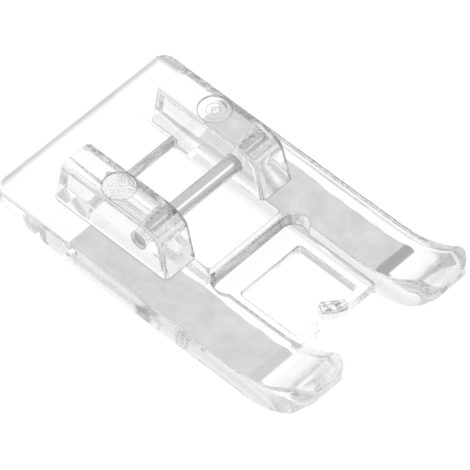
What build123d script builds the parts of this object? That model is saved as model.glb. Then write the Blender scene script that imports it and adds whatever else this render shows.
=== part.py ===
import math
import os

from build123d import *

# Clip-on presser foot of clear plastic with a steel cross pin.
# Millimetres, +Z up, toes toward -Y, standing on its two flat running faces.
# Stations are distances behind the toe tips.

# overall
foot_length = 39.6
foot_width = 22.9
sole_thickness = 3.1
rear_corner_radius = 1.5
outer_edge_radius = 0.35

# heel: the underside rolls up toward the rear edge behind a small step
heel_length = 9.1
heel_step = 0.4
heel_radius = 22.3

# toes: both faces sweep up to a rounded tip
toe_gap = 10.8
toe_under_start = 7.7
toe_under_radius = 8.3
toe_under_end = 0.7
toe_top_start = 9.6
toe_top_radius = 11.3
toe_top_end = 1.6
toe_tip_height = 5.0
toe_tip_reach = 0.06
toe_tip_radius = 1.2
toe_outer_radius = 2.2
toe_inner_radius = 1.6

# low needle plate between the toes, with a round-ended slot behind it and the crossbar wall
mouth_depth = 6.9
plate_bottom = 0.5
plate_top = 1.6
plate_recess_width = 11.0
plate_edge_radius = 0.15
plate_rear_strip = 2.4
crossbar_wall = 0.7
slot_inset = 1.0
slot_floor_radius = 1.35
pocket_draft = 6.0
pocket_edge_radius = 0.3

# needle window with the angled threading slit and the hooked bar
needle_width = 7.9
needle_length = 7.2
needle_corner = 0.4
front_bar = 0.9
slit_rear_x = -1.3
slit_front_x = -2.0
hook_root_x = 2.2
hook_bend = 0.15
hook_bend_radius = 0.8
hook_tip_x = 0.45
hook_tip_setback = 1.25
hook_end_x = -0.05
hook_nose_x = -0.4
hook_nose_setback = 0.25
hook_nose_radius = 1.2
hook_front_x = 0.45
hook_front_setback = 0.35
hook_back_x = 1.5

# ankle window under the pin, and the stitch tunnel behind the crossbar
window_width = 9.5
window_length = 13.5
window_corner = 0.5
tunnel_foot_width = 10.1
tunnel_roof = 1.15

# lugs, which reach a little over the window
lug_height = 5.2
lug_gap = 8.7
lug_base_width = 16.9
lug_top_width = 16.5
lug_setback = 1.9
lug_length = 14.45
lug_front_lean = 1.2
lug_rear_lean = 0.7
lug_chamfer_length = 2.1
lug_chamfer_drop = 0.66
lug_edge_radius = 0.55
lug_nose_radius = 1.5
mark_setback = 7.95
mark_diameter = 3.3
mark_depth = 0.12

# cross pin
pin_diameter = 1.8
pin_fit = 0.04
pin_setback = 3.6
pin_height = 5.9
pin_recess = 0.2
pin_end_chamfer = 0.2

# places that follow from the sizes
tip_y = -foot_length / 2
rear_y = foot_length / 2
half_width = foot_width / 2
half_gap = toe_gap / 2
half_window = window_width / 2
half_tunnel = tunnel_foot_width / 2
half_recess = plate_recess_width / 2
half_needle = needle_width / 2
half_lug_gap = lug_gap / 2
lug_top = sole_thickness + lug_height
plate_front = mouth_depth
needle_front = plate_front + front_bar
needle_rear = needle_front + needle_length
crossbar_front = needle_rear + plate_rear_strip
crossbar_rear = crossbar_front + crossbar_wall
window_rear = crossbar_rear + window_length
lug_front = crossbar_rear + lug_setback
lug_rear = lug_front + lug_length
pin_station = lug_front + pin_setback
over = 1.0
hair = 0.01


def station(distance):
    """Y of a point that lies this far behind the toe tips."""
    return tip_y + distance


def roll(run, radius):
    """Rise of a tangent arc after a level run from its start."""
    return radius - math.sqrt(radius**2 - run**2)


def is_rim(edge):
    """Edges of the sole outline, apart from upright ones and the lines across it."""
    way = edge.tangent_at(0.5)
    middle = edge.position_at(0.5)
    upright = edge.geom_type == GeomType.LINE and abs(way.Z) > 1 - hair
    across = abs(way.X) > 1 - hair and abs(middle.Y) < rear_y - hair
    return not upright and not across


def is_pocket_rim(edge):
    """Level edges at the top of the pocket, in front of the rear face of the crossbar."""
    middle = edge.position_at(0.5)
    level = abs(edge.tangent_at(0.5).Z) < hair and abs(middle.Z - sole_thickness) < hair
    inside = abs(middle.X) < half_width - outer_edge_radius - hair
    return level and inside and middle.Y < station(crossbar_rear) - hair


def is_plate_rim(edge):
    """Top edges of the needle plate round its window, slit and hook."""
    middle = edge.position_at(0.5)
    level = abs(edge.tangent_at(0.5).Z) < hair and abs(middle.Z - plate_top) < hair
    inside = abs(middle.X) < half_gap - hair and middle.Y < station(needle_rear) + hair
    return level and inside


heel_edge_height = roll(heel_length, heel_radius)
heel_mid_height = roll(heel_length / 2, heel_radius)
under_mid = (toe_under_start + toe_under_end) / 2
under_mid_height = roll(toe_under_start - under_mid, toe_under_radius)
under_tip_height = roll(toe_under_start - toe_under_end, toe_under_radius)
top_mid = (toe_top_start + toe_top_end) / 2
top_mid_height = sole_thickness + roll(toe_top_start - top_mid, toe_top_radius)
top_tip_height = sole_thickness + roll(toe_top_start - toe_top_end, toe_top_radius)

# one lug: a block with leaning ends and a rounded nose at the top front, its outer side drafted
with BuildPart() as lug:
    chamfer_height = lug_top - lug_chamfer_drop
    chamfer_front = lug_front + lug_front_lean * (lug_height - lug_chamfer_drop) / lug_height
    with BuildSketch(Plane.YZ.offset(half_lug_gap)) as lug_side:
        with BuildLine():
            Polyline(
                (station(lug_rear), sole_thickness),
                (station(lug_rear - lug_rear_lean), lug_top),
                (station(chamfer_front + lug_chamfer_length), lug_top),
                (station(chamfer_front), chamfer_height),
                (station(lug_front), sole_thickness),
                close=True,
            )
        make_face()
        upper = lug_side.vertices().filter_by(lambda v: v.Y > chamfer_height - hair)
        fillet(upper.filter_by(lambda v: v.X < station(lug_front + lug_length / 2)), lug_nose_radius)
    extrude(amount=lug_base_width / 2 - half_lug_gap)
    with BuildSketch(Plane.XZ):
        with BuildLine():
            Polyline(
                (lug_base_width / 2, sole_thickness),
                (lug_top_width / 2, lug_top),
                (half_width, lug_top),
                (half_width, sole_thickness),
                close=True,
            )
        make_face()
    extrude(amount=foot_length, both=True, mode=Mode.SUBTRACT)
    fillet(lug.edges().filter_by(lambda e: e.position_at(0.5).Z > sole_thickness + hair), lug_edge_radius)
    # ejector mark on top
    mark_x = (half_lug_gap + lug_top_width / 2) / 2
    with Locations((mark_x, station(lug_front + mark_setback), lug_top - mark_depth)):
        Cylinder(
            mark_diameter / 2,
            mark_depth + over,
            align=(Align.CENTER, Align.CENTER, Align.MIN),
            mode=Mode.SUBTRACT,
        )

with BuildPart() as clear_foot:
    # sole and toes from the side
    with BuildSketch(Plane.YZ) as side:
        with BuildLine():
            Line((rear_y, heel_edge_height), (rear_y, sole_thickness))
            Line((rear_y, sole_thickness), (station(toe_top_start), sole_thickness))
            ThreePointArc(
                (station(toe_top_start), sole_thickness),
                (station(top_mid), top_mid_height),
                (station(toe_top_end), top_tip_height),
            )
            ThreePointArc(
                (station(toe_top_end), top_tip_height),
                (station(-toe_tip_reach), toe_tip_height),
                (station(toe_under_end), under_tip_height),
            )
            ThreePointArc(
                (station(toe_under_end), under_tip_height),
                (station(under_mid), under_mid_height),
                (station(toe_under_start), 0),
            )
            Line((station(toe_under_start), 0), (rear_y - heel_length, 0))
            ThreePointArc(
                (rear_y - heel_length, 0),
                (rear_y - heel_length / 2, heel_mid_height),
                (rear_y, heel_edge_height),
            )
        make_face()
        tip_corners = side.vertices().filter_by(lambda v: v.X < station(toe_top_end) + hair)
        fillet(tip_corners, toe_tip_radius)
    extrude(amount=half_width, both=True)

    # plan outline with the open mouth between the toes
    with BuildSketch(Plane.XY.offset(-over)) as outline:
        with BuildLine():
            Polyline(
                (-half_width, rear_y),
                (half_width, rear_y),
                (half_width, tip_y),
                (half_gap, tip_y),
                (half_gap, station(plate_front)),
                (-half_gap, station(plate_front)),
                (-half_gap, tip_y),
                (-half_width, tip_y),
                close=True,
            )
        make_face()
        corners = outline.vertices()
        fillet(corners.filter_by(lambda v: v.Y > rear_y - hair), rear_corner_radius)
        tips = outline.vertices().filter_by(lambda v: v.Y < tip_y + hair)
        fillet(tips.filter_by(lambda v: abs(v.X) > half_width - hair), toe_outer_radius)
        tips = outline.vertices().filter_by(lambda v: v.Y < tip_y + hair)
        fillet(tips.filter_by(lambda v: abs(v.X) < half_gap + hair), toe_inner_radius)
    extrude(amount=lug_top + 2 * over, mode=Mode.INTERSECT)
    fillet(clear_foot.edges().filter_by(is_rim), outer_edge_radius)

    # heel relief behind the running faces
    with BuildSketch(Plane.YZ):
        with BuildLine():
            Line((rear_y - heel_length, -over), (rear_y - heel_length, heel_step))
            ThreePointArc(
                (rear_y - heel_length, heel_step),
                (rear_y - heel_length / 2, heel_step + heel_mid_height),
                (rear_y, heel_step + heel_edge_height),
            )
            Line((rear_y, heel_step + heel_edge_height), (rear_y + over, heel_edge_height))
            Line((rear_y + over, heel_edge_height), (rear_y + over, -over))
            Line((rear_y + over, -over), (rear_y - heel_length, -over))
        make_face()
    extrude(amount=half_width + over, both=True, mode=Mode.SUBTRACT)

    # stitch tunnel: drafted sides and a level roof, which runs out where the heel rolls up past it
    tunnel_draft = (half_tunnel - half_window) / tunnel_roof
    tunnel_mouth = half_tunnel + tunnel_draft * over
    with BuildSketch(Plane.XZ.offset(-station(crossbar_rear))):
        with BuildLine():
            Polyline(
                (-tunnel_mouth, -over),
                (-half_window, tunnel_roof),
                (half_window, tunnel_roof),
                (tunnel_mouth, -over),
                close=True,
            )
        make_face()
    extrude(amount=crossbar_rear - foot_length - over, mode=Mode.SUBTRACT)

    # shallow recess under the needle plate
    with BuildSketch(Plane.XZ.offset(-station(plate_front - over))):
        with BuildLine():
            Polyline(
                (-half_recess - plate_bottom, -plate_bottom),
                (-half_recess + plate_bottom, plate_bottom),
                (half_recess - plate_bottom, plate_bottom),
                (half_recess + plate_bottom, -plate_bottom),
                close=True,
            )
        make_face()
    extrude(amount=plate_front - over - crossbar_rear, mode=Mode.SUBTRACT)

    # ankle window
    with BuildSketch(Plane.XY.offset(-over)):
        with Locations((0, station((window_rear + crossbar_rear) / 2))):
            RectangleRounded(window_width, window_length, window_corner)
    extrude(amount=sole_thickness + 2 * over, mode=Mode.SUBTRACT)

    # pocket over the needle plate: round-ended slot and the channel between the toes
    slot_centre = crossbar_front - slot_floor_radius
    with BuildSketch(Plane.XY.offset(plate_top)):
        with Locations((0, station(slot_centre))):
            SlotCenterToCenter(2 * (half_gap - slot_inset), 2 * slot_floor_radius)
    extrude(amount=sole_thickness - plate_top, taper=-pocket_draft, mode=Mode.SUBTRACT)
    channel_front = plate_front - over
    with BuildSketch(Plane.XY.offset(plate_top)):
        with Locations((0, station((slot_centre + channel_front) / 2))):
            Rectangle(toe_gap, slot_centre - channel_front)
    extrude(amount=sole_thickness + over - plate_top, mode=Mode.SUBTRACT)
    fillet(clear_foot.edges().filter_by(is_pocket_rim), pocket_edge_radius)

    # needle window, threading slit and hook
    with BuildSketch(Plane.XY.offset(-over)) as needle:
        with BuildLine():
            Polyline(
                (-half_needle, station(needle_rear)),
                (half_needle, station(needle_rear)),
                (half_needle, station(needle_front)),
                (hook_root_x, station(needle_front - hook_bend)),
                (hook_tip_x, station(needle_front + hook_tip_setback)),
                (hook_end_x, station(needle_front + hook_tip_setback - hook_bend)),
                (hook_nose_x, station(needle_front + hook_nose_setback)),
                (hook_front_x, station(plate_front + hook_front_setback)),
                (hook_back_x, station(plate_front)),
                (hook_back_x, station(plate_front - over)),
                (slit_front_x, station(plate_front - over)),
                (slit_front_x, station(plate_front)),
                (slit_rear_x, station(needle_front)),
                (-half_needle, station(needle_front)),
                close=True,
            )
        make_face()
        window_corners = needle.vertices().filter_by(lambda v: abs(v.X) > half_needle - hair)
        fillet(window_corners, needle_corner)
        bend = needle.vertices().filter_by(lambda v: abs(v.X - hook_root_x) < hair)
        fillet(bend, hook_bend_radius)
        nose_y = station(plate_front + hook_front_setback)
        nose = needle.vertices().filter_by(lambda v: abs(v.Y - nose_y) < hair)
        fillet(nose, hook_nose_radius)
    extrude(amount=plate_top + 2 * over, mode=Mode.SUBTRACT)
    fillet(clear_foot.edges().filter_by(is_plate_rim), plate_edge_radius)

    # two lugs, and the hole that holds the pin
    add(lug.part)
    mirror(lug.part, about=Plane.YZ)
    with Locations((0, station(pin_station), pin_height)):
        Cylinder((pin_diameter + pin_fit) / 2, foot_width + over, rotation=(0, 90, 0), mode=Mode.SUBTRACT)

# steel cross pin, held in both lugs, its ends a little below their outer faces
lug_draft = (lug_base_width - lug_top_width) / 2 / lug_height
lug_outer_at_pin = lug_base_width / 2 - lug_draft * (pin_height - sole_thickness)
pin_length = 2 * (lug_outer_at_pin - pin_recess)
with BuildPart() as cross_pin:
    with Locations((0, station(pin_station), pin_height)):
        Cylinder(pin_diameter / 2, pin_length, rotation=(0, 90, 0))
    chamfer(cross_pin.edges().filter_by(GeomType.CIRCLE), pin_end_chamfer)

clear_foot.part.label = "clear_foot"
cross_pin.part.label = "cross_pin"

os.makedirs("parts", exist_ok=True)
export_step(clear_foot.part, "parts/clear_foot.step")
export_step(cross_pin.part, "parts/cross_pin.step")
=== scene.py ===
import math

import bpy
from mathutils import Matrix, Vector

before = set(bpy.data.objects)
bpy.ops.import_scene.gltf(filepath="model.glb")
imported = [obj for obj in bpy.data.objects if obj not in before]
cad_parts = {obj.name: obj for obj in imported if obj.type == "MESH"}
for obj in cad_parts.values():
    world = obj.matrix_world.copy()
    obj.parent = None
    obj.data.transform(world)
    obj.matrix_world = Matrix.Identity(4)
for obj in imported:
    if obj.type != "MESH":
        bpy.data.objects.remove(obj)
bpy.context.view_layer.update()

MM = 0.001

# how many finer layers a noise pattern carries
SOFT_DETAIL = 1.0
PLAIN_DETAIL = 2.0

# the photograph's view, in degrees and millimetres
VIEW_AZIMUTH = -46.44
VIEW_ELEVATION = 51.36
VIEW_DISTANCE = 520.6
VIEW_AIM = (-0.307, -0.7, 3.3)
VIEW_SPAN = 43.09
VIEW_CLIP = (10.0, 10000.0)
SENSOR_WIDTH = 36.0

# the foot's own places, in millimetres
FOOT_HALF_WIDTH = 11.45
FOOT_HALF_LENGTH = 19.8
SOLE_TOP = 3.05
TOE_REAR = -12.0
PIN_Y = 3.8
PIN_Z = 5.9
BORE_REACH = 0.95
BORE_INNER = 4.6
BORE_OUTER = 8.1
MARK_X = 6.3
MARK_Y = 8.15
MARK_RADIUS = 1.6
MARK_LEVEL = 8.0

# clear plastic: colour, gloss, and the widths and heights of what the mould leaves on it, in millimetres
PLASTIC_COLOUR = "FBFCFC"
PLASTIC_IOR = 1.55
FACE_ROUGHNESS = 0.08
BORE_ROUGHNESS = 0.2
BORE_BORDER = (0.94, 0.97)
FLOW_WIDTH = 2.5
FLOW_HEIGHT = 0.006
DRAG_WIDTH = 1.5
DRAG_HEIGHT = 0.03
STIPPLE_WIDTH = 0.24
STIPPLE_HEIGHT = 0.12
RING_PITCH = 0.55
RING_HEIGHT = 0.02
PIT_WIDTH = 0.4
PIT_HEIGHT = 0.12

# how steep a face is: upright share of its normal at which a wall is a wall, and at which it no longer is
WALL_STEEP = (0.25, 0.5)

# edges: reach, share of painted grey and painted highlight, and how far a rounded face is turned where it
# starts
EDGE_PAINTED_SHADE_COLOUR = "898989"
CROWN_PAINTED_HIGHLIGHT_COLOUR = "FFFFFF"
EDGE_LEVEL = 1.3
EDGE_REACH = 0.18
EDGE_SAMPLES = 4
EDGE_TURN = (0.99, 0.85)
EDGE_PAINT = 0.85
ROUND_TURN = (0.09, 0.14)
ROUND_PAINT = 0.2
CROWN_TURN = (0.17, 0.23)
CROWN_PAINT = 0.6
RIGHT_ROUND_TURN = (0.01, 0.05)
RIGHT_ROUND_PAINT = 0.9
RIGHT_ROUND_LEAN = 0.1
SPECK_WIDTH = 0.35
SPECK_SPREAD = (0.4, 0.65)
SPECK_LEAST = 0.4

# walls: where they get painted grey reflections and painted grey streaks, and how much painted grey they get
RIM_X = 11.0
RIM_PAINT = 0.45
LUG_PAINT = 0.7
LUG_PAINT_LEVEL = 5.4
LUG_PAINT_FRONT = 5.2
PAINT_FADE = 0.3
PAINT_FACING = -0.5
MIRROR_SLANT = (0.45, 0.6)
STREAK_FRONT = -6.0
STREAK_FACING = -0.7
STREAK_PAINT = 0.58
STREAK_WIDTH = 0.5
STREAK_DRAW = (0.25, 1.0, 1.0)
STREAK_SPREAD = (0.35, 0.65)
STREAK_LEAST = 0.45
WALL_PAINT = 0.08

# ground steel
STEEL_COLOUR = "C8C9CA"
STEEL_ROUGHNESS = 0.2
GRIND_WIDTH = 0.3
GRIND_DEPTH = 0.01
GRIND_STRENGTH = 0.1
GRIND_DETAIL = 3.0

# table: its white, and the painted shade and light under and round the foot, with sizes in millimetres
TABLE_COLOUR = "6F6F6F"
TABLE_SIZE = 2000.0
TABLE_GAP = 0.005
TABLE_GLOW = 0.93
CONTACT_REACH = 0.25
CONTACT_SAMPLES = 16
CONTACT_RANGE = (0.4, 0.7)
PAD_MIDDLE = 8.15
PAD_HALF = 2.35
PAD_BORDER = 0.25
PAD_FRONT = -12.1
PAD_FADE = 0.3
PAD_SHADE = 0.645
PAD_CLOUD = 0.09
PAD_MOTTLE = 2.5
PAD_SPREAD = (0.3, 0.7)
PAD_DETAIL = 8.0
PAD_GRAIN = 0.7
PAD_WAVE = 4.0
PAD_SWAY = 0.35
LEFT_WEDGE = 0.58
RIGHT_WEDGE = 0.34
WEDGE_SPLIT = 1.0
LIT_SHADE = 1.04
RING_SHADE = 0.55
FAR_SHADE = 0.92
LIT_MARGIN = -0.1
RING_MARGIN = 0.5
FAR_MARGIN = 2.5
HOOK_X = 0.9
HOOK_Y = -12.0
HOOK_RADIUS = 1.2
HOOK_FADE = 0.8
HOOK_FLECK = 0.8
HOOK_SPREAD = (0.42, 0.58)
HOOK_SHADE = 0.3

# studio: its white, and the way to its back wall and to its lamp, as seen from the foot
SKY_COLOUR = "FFFFFF"
BACK_WAY = (0.7247, 0.6891, 0.0)
FRONT_RANGE = (-0.7, -0.2)
FRONT_SKY = 0.45
LAMP_WAY = (0.451, -0.551, 0.702)
LAMP_RANGE = (0.955, 0.985)
LAMP_LEVEL = 0.8
LIGHT_BOUNCES = 64


def from_srgb(code):
    """Linear colour with alpha from an sRGB hex code."""
    linear = []
    for start in (0, 2, 4):
        channel = int(code[start:start + 2], 16) / 255
        linear.append(channel / 12.92 if channel <= 0.04045 else ((channel + 0.055) / 1.055) ** 2.4)
    return (*linear, 1.0)


def new_material(name):
    """An empty node material and its node tree."""
    material = bpy.data.materials.new(name)
    material.use_nodes = True
    material.node_tree.nodes.clear()
    return material, material.node_tree


def add_node(tree, kind, settings=None, inputs=None):
    """Adds a node. An input that is a node, or a node and its output's name, is linked, any other is set."""
    node = tree.nodes.new(kind)
    for name, value in (settings or {}).items():
        setattr(node, name, value)
    for name, value in (inputs or {}).items():
        if isinstance(value, bpy.types.Node):
            value = (value, 0)
        if isinstance(value, tuple) and isinstance(value[0], bpy.types.Node):
            tree.links.new(value[0].outputs[value[1]], node.inputs[name])
        else:
            node.inputs[name].default_value = value
    return node


def where_all(tree, *masks):
    """One mask that holds where all of these do."""
    whole = masks[0]
    for mask in masks[1:]:
        whole = add_node(tree, "ShaderNodeMath", {"operation": "MULTIPLY"}, {0: whole, 1: mask})
    return whole


def away_from(tree, spot, keep, centre):
    """Distance of each point from the line through the centre, along the axis that keep leaves out."""
    flat = add_node(tree, "ShaderNodeVectorMath", {"operation": "MULTIPLY"}, {0: spot, 1: keep})
    reach = add_node(tree, "ShaderNodeVectorMath", {"operation": "DISTANCE"}, {
        0: flat, 1: tuple(place * MM for place in centre)})
    return reach, "Value"


def mould_relief(tree, spot, split, wall, in_bore):
    """Height of what the mould leaves: waves, drag on walls, two ejector marks and pits in the bore."""
    # slow waves in every face, which bend what shows through it
    flow = add_node(tree, "ShaderNodeTexNoise", inputs={
        "Vector": spot, "Scale": 1 / (FLOW_WIDTH * MM), "Detail": PLAIN_DETAIL})
    height = add_node(tree, "ShaderNodeMath", {"operation": "MULTIPLY"}, {0: flow, 1: FLOW_HEIGHT})

    # upright walls drag on the mould as they leave it, so they are less even than the flat faces
    drag = add_node(tree, "ShaderNodeTexNoise", inputs={
        "Vector": spot, "Scale": 1 / (DRAG_WIDTH * MM), "Detail": PLAIN_DETAIL})

    # ejector marks on the tops of the lugs: spark-eroded stipple on the left, turned rings on the right
    on_top = add_node(tree, "ShaderNodeMath", {"operation": "GREATER_THAN"}, {
        0: (split, "Z"), 1: MARK_LEVEL * MM})
    marks = []
    for mark_x in (-MARK_X, MARK_X):
        reach = away_from(tree, spot, (1, 1, 0), (mark_x, MARK_Y, 0))
        inside = add_node(tree, "ShaderNodeMath", {"operation": "LESS_THAN"}, {0: reach, 1: MARK_RADIUS * MM})
        marks.append((reach, where_all(tree, inside, on_top)))
    left_mark = marks[0][1]
    right_reach, right_mark = marks[1]
    stipple = add_node(tree, "ShaderNodeTexVoronoi", inputs={
        "Vector": spot, "Scale": 1 / (STIPPLE_WIDTH * MM)})
    turns = add_node(tree, "ShaderNodeMath", {"operation": "MULTIPLY"}, {
        0: right_reach, 1: 2 * math.pi / (RING_PITCH * MM)})
    rings = add_node(tree, "ShaderNodeMath", {"operation": "SINE"}, {0: turns})

    # the bore is left as it comes from its core pin, so the steel inside it shows only as a broken grey band
    pits = add_node(tree, "ShaderNodeTexNoise", inputs={
        "Vector": spot, "Scale": 1 / (PIT_WIDTH * MM), "Detail": SOFT_DETAIL})

    for pattern, where, depth in (
        (drag, wall, DRAG_HEIGHT),
        (stipple, left_mark, STIPPLE_HEIGHT),
        (rings, right_mark, RING_HEIGHT),
        (pits, in_bore, PIT_HEIGHT),
    ):
        height = add_node(tree, "ShaderNodeMath", {"operation": "MULTIPLY_ADD"}, {
            0: where_all(tree, pattern, where), 1: depth, 2: height})
    return height


def painted_edge_outlines(tree, split, facing, surface, outward, specks):
    """Share of painted grey shade and painted highlight along the edges, and the colour they are painted in.
    """
    # sharp edges: the normal turns within a hair of them, and a painted grey outline runs along them
    eased = add_node(tree, "ShaderNodeBevel", {"samples": EDGE_SAMPLES}, {"Radius": EDGE_REACH * MM})
    alike = add_node(tree, "ShaderNodeVectorMath", {"operation": "DOT_PRODUCT"}, {
        0: eased, 1: (surface, "Normal")})
    turn = add_node(tree, "ShaderNodeMath", {"operation": "ABSOLUTE"}, {0: (alike, "Value")})
    sharp = add_node(tree, "ShaderNodeMapRange", inputs={
        "Value": turn, "From Min": EDGE_TURN[0], "From Max": EDGE_TURN[1],
        "To Min": 0.0, "To Max": EDGE_PAINT})

    # rounded edges: the normal lies off all three axes, most of all along the crown of the round, where more
    # is painted
    level, across, along = [
        add_node(tree, "ShaderNodeMath", {"operation": "ABSOLUTE"}, {0: (facing, axis)})
        for axis in ("Z", "X", "Y")]
    flat = add_node(tree, "ShaderNodeMath", {"operation": "MAXIMUM"}, {0: across, 1: along})
    flat = add_node(tree, "ShaderNodeMath", {"operation": "MAXIMUM"}, {0: level, 1: flat})
    tilt = add_node(tree, "ShaderNodeMath", {"operation": "SUBTRACT"}, {0: 1.0, 1: flat})
    behind_toes = add_node(tree, "ShaderNodeMath", {"operation": "GREATER_THAN"}, {
        0: (split, "Y"), 1: TOE_REAR * MM})
    starts = add_node(tree, "ShaderNodeMapRange", inputs={
        "Value": tilt, "From Min": ROUND_TURN[0], "From Max": ROUND_TURN[1]})
    crown = add_node(tree, "ShaderNodeMapRange", inputs={
        "Value": tilt, "From Min": CROWN_TURN[0], "From Max": CROWN_TURN[1],
        "To Min": ROUND_PAINT, "To Max": CROWN_PAINT})
    rounded = where_all(tree, starts, behind_toes, crown)
    fine = add_node(tree, "ShaderNodeMath", {"operation": "MAXIMUM"}, {0: sharp, 1: rounded})
    fine = where_all(tree, fine, outward)

    # the right-hand rounds of the lugs and the rim get speckled painted grey, the others painted highlight
    to_right = add_node(tree, "ShaderNodeMath", {"operation": "GREATER_THAN"}, {
        0: (facing, "X"), 1: RIGHT_ROUND_LEAN})
    to_top = add_node(tree, "ShaderNodeMath", {"operation": "GREATER_THAN"}, {
        0: (facing, "Z"), 1: RIGHT_ROUND_LEAN})
    right_round = where_all(tree, to_right, outward, to_top, behind_toes)
    bends = add_node(tree, "ShaderNodeMapRange", inputs={
        "Value": tilt, "From Min": RIGHT_ROUND_TURN[0], "From Max": RIGHT_ROUND_TURN[1],
        "To Min": 0.0, "To Max": RIGHT_ROUND_PAINT})
    right_round_grey = where_all(tree, right_round, bends, specks)
    outlines = add_node(tree, "ShaderNodeMath", {"operation": "MAXIMUM"}, {0: fine, 1: right_round_grey})

    # the painted colour turns from grey to a white painted highlight along the crowns, apart from the
    # right-hand rounds
    bright_tilt = add_node(tree, "ShaderNodeMath", {"operation": "SUBTRACT"}, {0: tilt, 1: right_round})
    bright = add_node(tree, "ShaderNodeMapRange", inputs={
        "Value": bright_tilt, "From Min": CROWN_TURN[0], "From Max": CROWN_TURN[1]})
    # the two colours of a Mix node are its inputs 6 and 7, and the mixed one is its output 2
    colour = add_node(tree, "ShaderNodeMix", {"data_type": "RGBA"}, {
        0: bright, 6: from_srgb(EDGE_PAINTED_SHADE_COLOUR), 7: from_srgb(CROWN_PAINTED_HIGHLIGHT_COLOUR)})
    return outlines, (colour, 2)


def painted_wall_grey(tree, spot, split, facing, surface, outward, specks):
    """Share of painted grey on the upright walls."""
    # the right-hand walls along the rim and near the lug tops get a painted grey reflection, seen from inside
    # aslant
    past_rim = add_node(tree, "ShaderNodeMath", {"operation": "GREATER_THAN"}, {
        0: (split, "X"), 1: RIM_X * MM})
    high = add_node(tree, "ShaderNodeMapRange", inputs={
        "Value": (split, "Z"), "To Min": 0.0, "To Max": LUG_PAINT,
        "From Min": (LUG_PAINT_LEVEL - PAINT_FADE) * MM, "From Max": (LUG_PAINT_LEVEL + PAINT_FADE) * MM})
    rear = add_node(tree, "ShaderNodeMapRange", inputs={
        "Value": (split, "Y"),
        "From Min": (LUG_PAINT_FRONT - PAINT_FADE) * MM, "From Max": (LUG_PAINT_FRONT + PAINT_FADE) * MM})
    painted_bands = add_node(tree, "ShaderNodeMath", {"operation": "MULTIPLY_ADD"}, {
        0: past_rim, 1: RIM_PAINT, 2: where_all(tree, high, rear)})
    to_left = add_node(tree, "ShaderNodeMath", {"operation": "LESS_THAN"}, {0: (facing, "X"), 1: PAINT_FACING})
    slant = add_node(tree, "ShaderNodeLayerWeight", inputs={"Blend": 0.5})
    mirrors = add_node(tree, "ShaderNodeMapRange", inputs={
        "Value": (slant, "Facing"), "From Min": MIRROR_SLANT[0], "From Max": MIRROR_SLANT[1]})
    inner = where_all(tree, painted_bands, to_left, (surface, "Backfacing"), specks, mirrors)

    # the rear walls of the openings get streaks of painted grey
    drawn = add_node(tree, "ShaderNodeVectorMath", {"operation": "MULTIPLY"}, {0: spot, 1: STREAK_DRAW})
    streak = add_node(tree, "ShaderNodeTexNoise", inputs={
        "Vector": drawn, "Scale": 1 / (STREAK_WIDTH * MM), "Detail": PLAIN_DETAIL})
    streaks = add_node(tree, "ShaderNodeMapRange", inputs={
        "Value": streak, "From Min": STREAK_SPREAD[0], "From Max": STREAK_SPREAD[1],
        "To Min": STREAK_LEAST * STREAK_PAINT, "To Max": STREAK_PAINT})
    to_front = add_node(tree, "ShaderNodeMath", {"operation": "LESS_THAN"}, {0: (facing, "Y"), 1: STREAK_FACING})
    below = add_node(tree, "ShaderNodeMath", {"operation": "LESS_THAN"}, {0: (split, "Z"), 1: SOLE_TOP * MM})
    behind_plate = add_node(tree, "ShaderNodeMath", {"operation": "GREATER_THAN"}, {
        0: (split, "Y"), 1: STREAK_FRONT * MM})
    painted_streaks = where_all(tree, to_front, outward, below, behind_plate, streaks)

    # all walls of the sole get a faint painted grey, so they are a little less clear than its faces
    painted_grey = add_node(tree, "ShaderNodeMath", {"operation": "ADD"}, {0: inner, 1: painted_streaks})
    return add_node(tree, "ShaderNodeMath", {"operation": "MULTIPLY_ADD"}, {0: below, 1: WALL_PAINT, 2: painted_grey})


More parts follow.
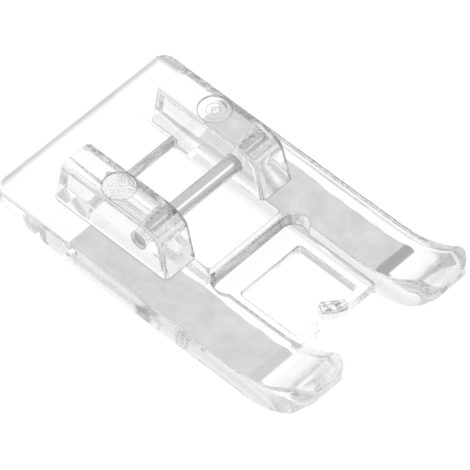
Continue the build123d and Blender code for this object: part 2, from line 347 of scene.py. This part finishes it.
def clear_moulded_plastic():
    # clear hard plastic from a polished mould: it shows the table and the pin, bent by its waves and rounds,
    # with bright faces, a matt bore, painted greyish walls, painted grey outlines and highlights on its edges
    material, tree = new_material("clear_moulded_plastic")
    place = add_node(tree, "ShaderNodeTexCoord")
    spot = (place, "Object")
    split = add_node(tree, "ShaderNodeSeparateXYZ", inputs={"Vector": spot})
    facing = add_node(tree, "ShaderNodeSeparateXYZ", inputs={"Vector": (place, "Normal")})
    surface = add_node(tree, "ShaderNodeNewGeometry")
    outward = add_node(tree, "ShaderNodeMath", {"operation": "SUBTRACT"}, {
        0: 1.0, 1: (surface, "Backfacing")})

    level = add_node(tree, "ShaderNodeMath", {"operation": "ABSOLUTE"}, {0: (facing, "Z")})
    wall = add_node(tree, "ShaderNodeMapRange", inputs={
        "Value": level, "From Min": WALL_STEEP[0], "From Max": WALL_STEEP[1], "To Min": 1.0, "To Max": 0.0})
    bore_reach = away_from(tree, spot, (0, 1, 1), (0, PIN_Y, PIN_Z))
    in_bore = add_node(tree, "ShaderNodeMath", {"operation": "LESS_THAN"}, {
        0: bore_reach, 1: BORE_REACH * MM})

    relief = add_node(tree, "ShaderNodeBump", inputs={
        "Strength": 1.0, "Distance": MM, "Height": mould_relief(tree, spot, split, wall, in_bore)})
    matt = add_node(tree, "ShaderNodeMapRange", inputs={
        "Value": bore_reach, "From Min": BORE_BORDER[0] * MM, "From Max": BORE_BORDER[1] * MM,
        "To Min": BORE_ROUGHNESS, "To Max": FACE_ROUGHNESS})
    clear = add_node(tree, "ShaderNodeBsdfPrincipled", inputs={
        "Base Color": from_srgb(PLASTIC_COLOUR), "Roughness": matt, "IOR": PLASTIC_IOR,
        "Transmission Weight": 1.0, "Normal": relief})

    # painted grey and highlight on edges and walls, but not next to the table nor on the bore inside the lugs
    speck = add_node(tree, "ShaderNodeTexNoise", inputs={
        "Vector": spot, "Scale": 1 / (SPECK_WIDTH * MM), "Detail": PLAIN_DETAIL})
    specks = add_node(tree, "ShaderNodeMapRange", inputs={
        "Value": speck, "From Min": SPECK_SPREAD[0], "From Max": SPECK_SPREAD[1], "To Min": SPECK_LEAST})
    outlines, painted_colour = painted_edge_outlines(tree, split, facing, surface, outward, specks)
    walls = where_all(tree, painted_wall_grey(tree, spot, split, facing, surface, outward, specks), wall)
    painted_share = add_node(tree, "ShaderNodeMath", {"operation": "MAXIMUM"}, {0: outlines, 1: walls})
    upper = add_node(tree, "ShaderNodeMath", {"operation": "GREATER_THAN"}, {
        0: (split, "Z"), 1: EDGE_LEVEL * MM})
    side = add_node(tree, "ShaderNodeMath", {"operation": "ABSOLUTE"}, {0: (split, "X")})
    past_inner = add_node(tree, "ShaderNodeMath", {"operation": "GREATER_THAN"}, {
        0: side, 1: BORE_INNER * MM})
    short_of_outer = add_node(tree, "ShaderNodeMath", {"operation": "LESS_THAN"}, {
        0: side, 1: BORE_OUTER * MM})
    clear_bore = where_all(tree, in_bore, past_inner, short_of_outer)
    paintable = add_node(tree, "ShaderNodeMath", {"operation": "SUBTRACT"}, {0: upper, 1: clear_bore})
    # the painted grey and highlight are a diffuse layer mixed over the clear plastic
    painted_grey = add_node(tree, "ShaderNodeBsdfDiffuse", inputs={"Color": painted_colour})
    moulded = add_node(tree, "ShaderNodeMixShader", inputs={
        "Fac": where_all(tree, painted_share, paintable), 1: clear, 2: painted_grey})
    add_node(tree, "ShaderNodeOutputMaterial", inputs={"Surface": moulded})
    return material


def ground_steel():
    # steel wire, ground and polished: a soft bright streak along the pin, a little broken by the grinding
    material, tree = new_material("ground_steel")
    place = add_node(tree, "ShaderNodeTexCoord")
    grind = add_node(tree, "ShaderNodeTexNoise", inputs={
        "Vector": (place, "Object"), "Scale": 1 / (GRIND_WIDTH * MM), "Detail": GRIND_DETAIL})
    relief = add_node(tree, "ShaderNodeBump", inputs={
        "Strength": GRIND_STRENGTH, "Distance": GRIND_DEPTH * MM, "Height": grind})
    steel = add_node(tree, "ShaderNodeBsdfPrincipled", inputs={
        "Base Color": from_srgb(STEEL_COLOUR), "Metallic": 1.0, "Roughness": STEEL_ROUGHNESS,
        "Normal": relief})
    add_node(tree, "ShaderNodeOutputMaterial", inputs={"Surface": steel})
    return material


def painted_contact_shade(tree, spot):
    """Painted shade on the table under the running faces: mottled, with wavy borders, darker under the toes.
    """
    drift = add_node(tree, "ShaderNodeTexNoise", {"normalize": False}, {
        "Vector": spot, "Scale": 1 / (PAD_WAVE * MM), "Detail": SOFT_DETAIL})
    wavy = add_node(tree, "ShaderNodeVectorMath", {"operation": "MULTIPLY_ADD"}, {
        0: (drift, "Color"), 1: (PAD_SWAY * MM, PAD_SWAY * MM, 0), 2: spot})
    split = add_node(tree, "ShaderNodeSeparateXYZ", inputs={"Vector": wavy})
    wedge = add_node(tree, "ShaderNodeMapRange", inputs={
        "Value": (split, "X"), "From Min": -WEDGE_SPLIT * MM, "From Max": WEDGE_SPLIT * MM,
        "To Min": LEFT_WEDGE, "To Max": RIGHT_WEDGE})
    cloud = add_node(tree, "ShaderNodeTexNoise", inputs={
        "Vector": spot, "Scale": 1 / (PAD_MOTTLE * MM), "Detail": PAD_DETAIL, "Roughness": PAD_GRAIN})
    pad = add_node(tree, "ShaderNodeMapRange", inputs={
        "Value": cloud, "From Min": PAD_SPREAD[0], "From Max": PAD_SPREAD[1],
        "To Min": PAD_SHADE - PAD_CLOUD, "To Max": PAD_SHADE + PAD_CLOUD})
    touching = add_node(tree, "ShaderNodeMapRange", inputs={
        "Value": (split, "Y"), "From Min": (PAD_FRONT - PAD_FADE) * MM, "From Max": PAD_FRONT * MM,
        "To Min": wedge, "To Max": pad})

    # the painted shade ends where the foot leaves the table, and at the sides of the running faces
    side = add_node(tree, "ShaderNodeMath", {"operation": "ABSOLUTE"}, {0: (split, "X")})
    off_middle = add_node(tree, "ShaderNodeMath", {"operation": "SUBTRACT"}, {0: side, 1: PAD_MIDDLE * MM})
    off_middle = add_node(tree, "ShaderNodeMath", {"operation": "ABSOLUTE"}, {0: off_middle})
    past_pad = add_node(tree, "ShaderNodeMapRange", inputs={
        "Value": off_middle, "From Min": PAD_HALF * MM, "From Max": (PAD_HALF + PAD_BORDER) * MM})
    contact = add_node(tree, "ShaderNodeAmbientOcclusion", {"samples": CONTACT_SAMPLES}, {
        "Distance": CONTACT_REACH * MM})
    clear_of_foot = add_node(tree, "ShaderNodeMath", {"operation": "ADD"}, {0: (contact, "AO"), 1: past_pad})
    return add_node(tree, "ShaderNodeMapRange", inputs={
        "Value": clear_of_foot, "From Min": CONTACT_RANGE[0], "From Max": CONTACT_RANGE[1],
        "To Min": touching})


def painted_hook_shade(tree, spot):
    """Painted broken grey shade on the table under the hook, which dips toward it."""
    reach = away_from(tree, spot, (1, 1, 0), (HOOK_X, HOOK_Y, 0))
    fleck = add_node(tree, "ShaderNodeTexNoise", inputs={
        "Vector": spot, "Scale": 1 / (HOOK_FLECK * MM), "Detail": PLAIN_DETAIL})
    flecked = add_node(tree, "ShaderNodeMapRange", inputs={
        "Value": fleck, "From Min": HOOK_SPREAD[0], "From Max": HOOK_SPREAD[1], "To Min": HOOK_SHADE})
    return add_node(tree, "ShaderNodeMapRange", inputs={
        "Value": reach, "From Min": HOOK_RADIUS * MM, "From Max": (HOOK_RADIUS + HOOK_FADE) * MM,
        "To Min": flecked})


def painted_light_around(tree, spot):
    """Painted light on the table, which falls off to a painted grey ring round the foot and comes back
    further out.
    """
    folded = add_node(tree, "ShaderNodeVectorMath", {"operation": "ABSOLUTE"}, {0: spot})
    beyond = add_node(tree, "ShaderNodeVectorMath", {"operation": "SUBTRACT"}, {
        0: folded, 1: (FOOT_HALF_WIDTH * MM, FOOT_HALF_LENGTH * MM, 0)})
    sides = add_node(tree, "ShaderNodeSeparateXYZ", inputs={"Vector": beyond})
    margin = add_node(tree, "ShaderNodeMath", {"operation": "MAXIMUM"}, {0: (sides, "X"), 1: (sides, "Y")})
    lit = add_node(tree, "ShaderNodeMapRange", inputs={
        "Value": margin, "From Min": LIT_MARGIN * MM, "From Max": RING_MARGIN * MM,
        "To Min": LIT_SHADE, "To Max": RING_SHADE})
    far = add_node(tree, "ShaderNodeMapRange", inputs={
        "Value": margin, "From Min": RING_MARGIN * MM, "From Max": FAR_MARGIN * MM,
        "To Min": 0.0, "To Max": FAR_SHADE - RING_SHADE})
    return add_node(tree, "ShaderNodeMath", {"operation": "ADD"}, {0: lit, 1: far})


def matt_white_table():
    # matt white board: even white that keeps a soft shadow; rays through the foot and off it see painted
    # shade
    material, tree = new_material("matt_white_table")
    place = add_node(tree, "ShaderNodeTexCoord")
    spot = (place, "Object")
    board = add_node(tree, "ShaderNodeBsdfDiffuse", inputs={"Color": from_srgb(TABLE_COLOUR)})
    glow = add_node(tree, "ShaderNodeEmission", inputs={"Strength": TABLE_GLOW})
    open_table = add_node(tree, "ShaderNodeAddShader", inputs={0: board, 1: glow})
    # painted shade under the running faces and the hook, and painted light and shade round the foot
    shade = where_all(tree, painted_contact_shade(tree, spot), painted_hook_shade(tree, spot), painted_light_around(tree, spot))
    through_foot = add_node(tree, "ShaderNodeEmission", inputs={"Strength": shade})
    path = add_node(tree, "ShaderNodeLightPath")
    through = add_node(tree, "ShaderNodeMath", {"operation": "MAXIMUM"}, {
        0: (path, "Is Glossy Ray"), 1: (path, "Is Transmission Ray")})
    seen = add_node(tree, "ShaderNodeMixShader", inputs={"Fac": through, 1: open_table, 2: through_foot})

    # nothing hides the sole when the foot is looked at from below
    surface = add_node(tree, "ShaderNodeNewGeometry")
    gone = add_node(tree, "ShaderNodeBsdfTransparent")
    one_sided = add_node(tree, "ShaderNodeMixShader", inputs={
        "Fac": (surface, "Backfacing"), 1: seen, 2: gone})
    add_node(tree, "ShaderNodeOutputMaterial", inputs={"Surface": one_sided})
    return material


def dress(node, material):
    """Gives a CAD node its material."""
    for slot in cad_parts[node].material_slots:
        slot.material = material


def lay_table():
    bpy.ops.object.select_all(action="DESELECT")
    bpy.ops.mesh.primitive_plane_add(size=TABLE_SIZE * MM, location=(0, 0, -TABLE_GAP * MM))
    table = bpy.context.object
    table.name = "table"
    table.data.materials.append(matt_white_table())


def light_studio():
    """An even white studio, darker behind the camera, with one soft lamp."""
    world = bpy.data.worlds.new("studio")
    world.use_nodes = True
    tree = world.node_tree
    tree.nodes.clear()
    place = add_node(tree, "ShaderNodeTexCoord")
    way = (place, "Generated")
    to_back = add_node(tree, "ShaderNodeVectorMath", {"operation": "DOT_PRODUCT"}, {0: way, 1: BACK_WAY})
    walls = add_node(tree, "ShaderNodeMapRange", inputs={
        "Value": (to_back, "Value"), "From Min": FRONT_RANGE[0], "From Max": FRONT_RANGE[1],
        "To Min": FRONT_SKY})
    to_lamp = add_node(tree, "ShaderNodeVectorMath", {"operation": "DOT_PRODUCT"}, {0: way, 1: LAMP_WAY})
    lamp = add_node(tree, "ShaderNodeMapRange", inputs={
        "Value": (to_lamp, "Value"), "From Min": LAMP_RANGE[0], "From Max": LAMP_RANGE[1],
        "To Min": 0.0, "To Max": LAMP_LEVEL})
    level = add_node(tree, "ShaderNodeMath", {"operation": "ADD"}, {0: walls, 1: lamp})
    path = add_node(tree, "ShaderNodeLightPath")
    seen = add_node(tree, "ShaderNodeMath", {"operation": "MAXIMUM"}, {0: level, 1: (path, "Is Camera Ray")})
    sky = add_node(tree, "ShaderNodeBackground", inputs={"Color": from_srgb(SKY_COLOUR), "Strength": seen})
    add_node(tree, "ShaderNodeOutputWorld", inputs={"Surface": sky})
    bpy.context.scene.world = world


def place_camera():
    azimuth = math.radians(VIEW_AZIMUTH)
    elevation = math.radians(VIEW_ELEVATION)
    back = Vector((
        math.sin(azimuth) * math.cos(elevation),
        -math.cos(azimuth) * math.cos(elevation),
        math.sin(elevation),
    ))
    data = bpy.data.cameras.new("view")
    data.sensor_width = SENSOR_WIDTH
    data.lens = SENSOR_WIDTH * VIEW_DISTANCE / VIEW_SPAN
    data.clip_start = VIEW_CLIP[0] * MM
    data.clip_end = VIEW_CLIP[1] * MM
    camera = bpy.data.objects.new("view", data)
    camera.location = Vector(VIEW_AIM) * MM + back * VIEW_DISTANCE * MM
    camera.rotation_mode = "QUATERNION"
    camera.rotation_quaternion = (-back).to_track_quat("-Z", "Y")
    bpy.context.scene.collection.objects.link(camera)
    bpy.context.scene.camera = camera


dress("clear_foot", clear_moulded_plastic())
dress("cross_pin", ground_steel())
lay_table()
light_studio()
place_camera()
bpy.context.scene.view_settings.view_transform = "Standard"

# light takes many turns inside the plastic before it comes out, and short paths would leave black streaks
bpy.context.scene.cycles.max_bounces = LIGHT_BOUNCES
bpy.context.scene.cycles.transmission_bounces = LIGHT_BOUNCES
bpy.context.scene.cycles.glossy_bounces = LIGHT_BOUNCES
